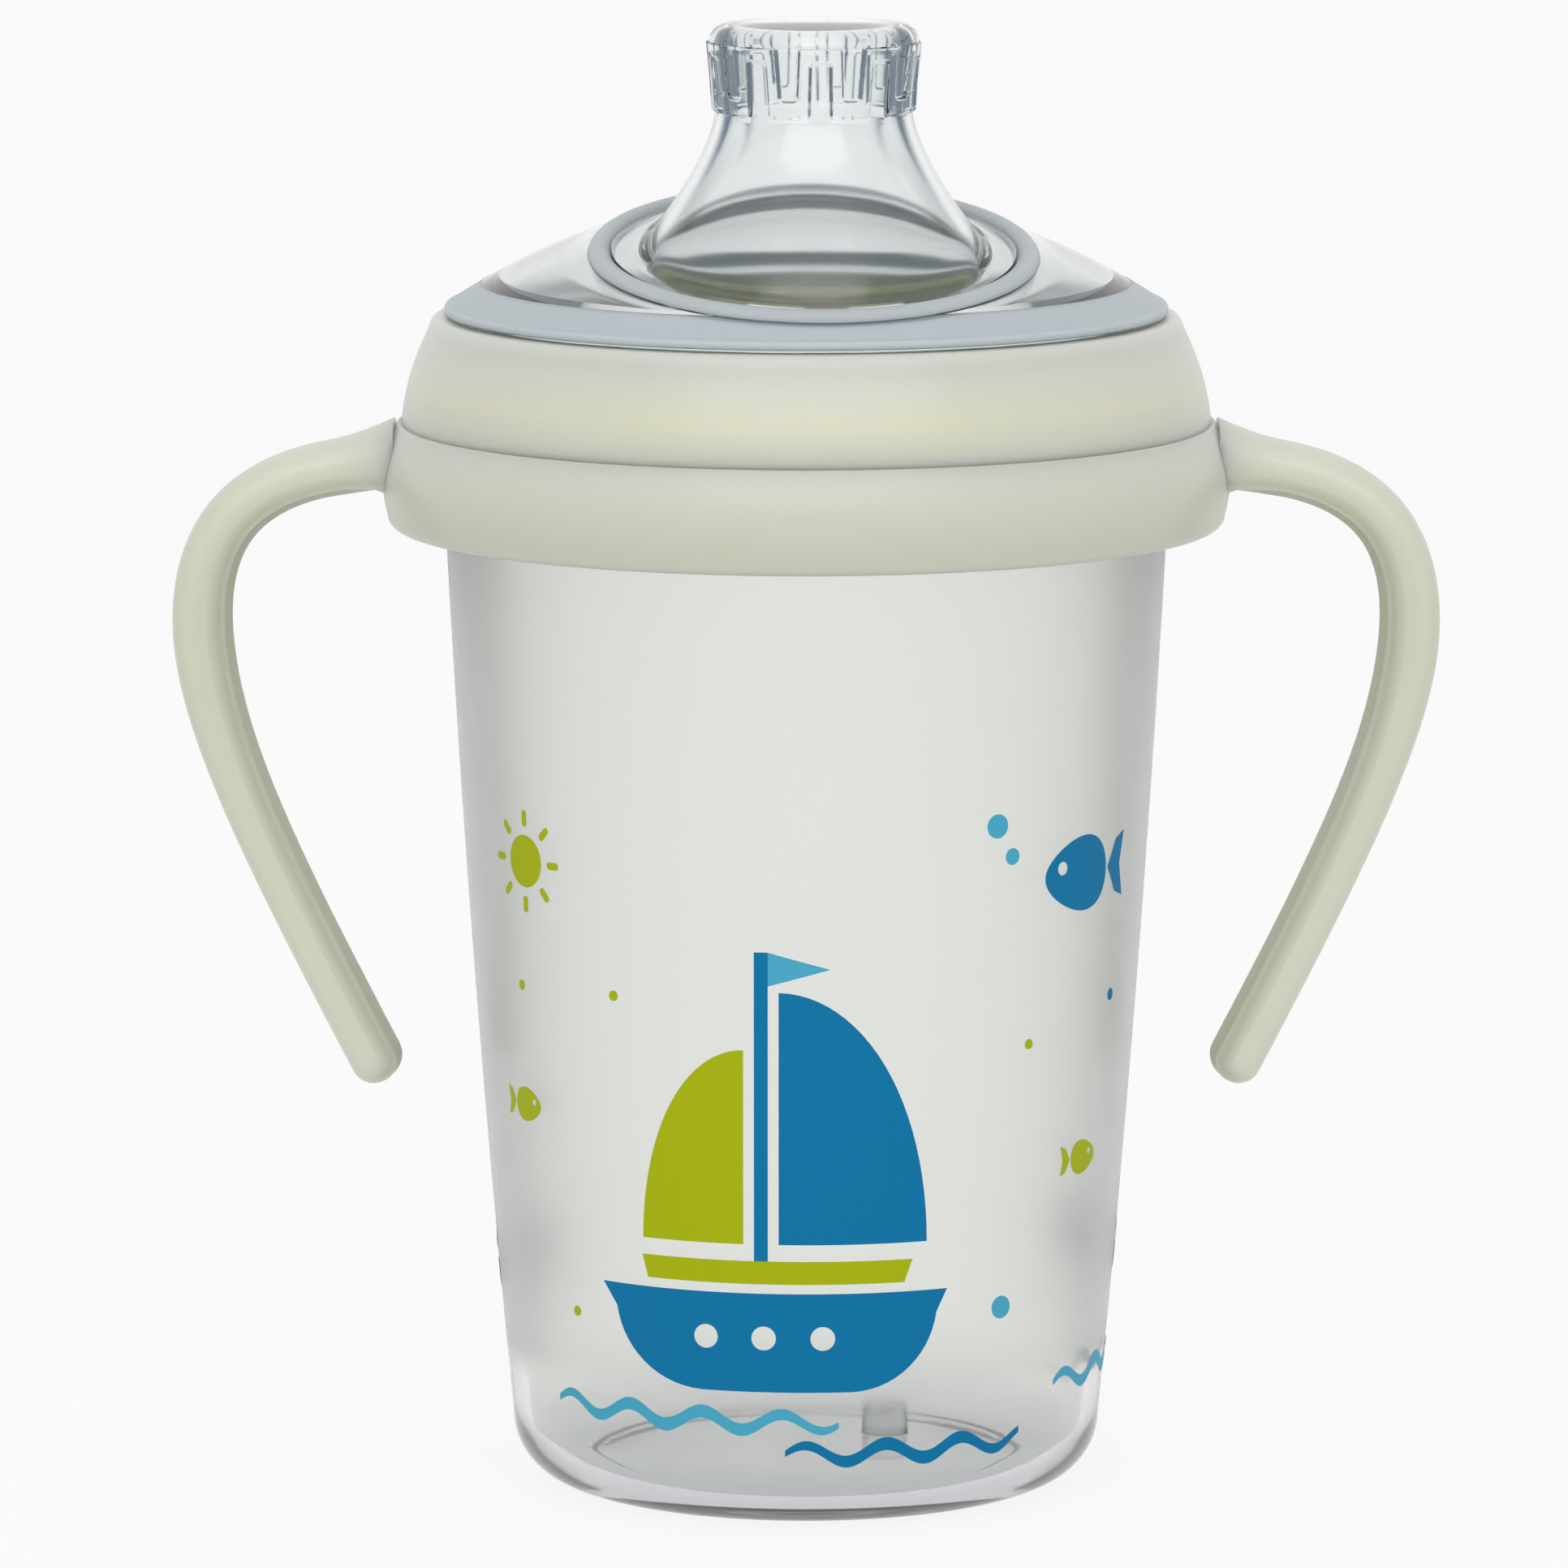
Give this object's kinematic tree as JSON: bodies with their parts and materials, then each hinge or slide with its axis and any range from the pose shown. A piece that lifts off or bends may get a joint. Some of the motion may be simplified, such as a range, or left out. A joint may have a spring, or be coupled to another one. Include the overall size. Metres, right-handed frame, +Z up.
{
  "type": "sippy cup",
  "caption": "Toddler's sippy cup: clear tapered beaker, ring with a handle on each side, screw collar and a soft clear spout with a gum ridge.",
  "frame": {"origin": "on the table, under the middle of the overall box", "axes": "+Z up through the beaker's axis, -Y towards the drinker (the side the spout is offset to), the handles along +X and -X"},
  "size_m": [0.1198, 0.0798, 0.1397],
  "materials": {
    "beaker_clear": "clear polypropylene, slightly frosted",
    "ring_translucent": "translucent green-white, satin",
    "collar_translucent": "translucent green-white, satin",
    "spout_silicone": "clear silicone, glossy",
    "print_blue": "printed ink on the beaker, satin",
    "print_lime": "printed ink on the beaker, satin",
    "print_aqua": "printed ink on the beaker, satin"
  },
  "bodies": {
    "beaker": {"beaker": "beaker_clear"},
    "handle_ring": {"handle_ring": "ring_translucent"},
    "spout": {"spout": "spout_silicone"},
    "screw_collar": {"screw_collar": "collar_translucent"}
  },
  "joints": [
    {"name": "lift_off", "type": "slide", "parent": "beaker", "child": "handle_ring", "axis": [0, 0, 1], "range_m": [0, 0.08]},
    {"name": "spout_rise", "type": "slide", "parent": "handle_ring", "child": "spout", "axis": [0, 0, 1], "range_m": [0, 0.00626]},
    {"name": "collar_turn", "type": "hinge", "parent": "spout", "child": "screw_collar", "pos_m": [0, 0, 0.105], "axis": [0, 0, 1], "range_deg": [0, 450]}
  ],
  "couplings": [
    {"joint": "spout_rise", "follows": "collar_turn", "m_per_rad": 0.00079577}
  ]
}
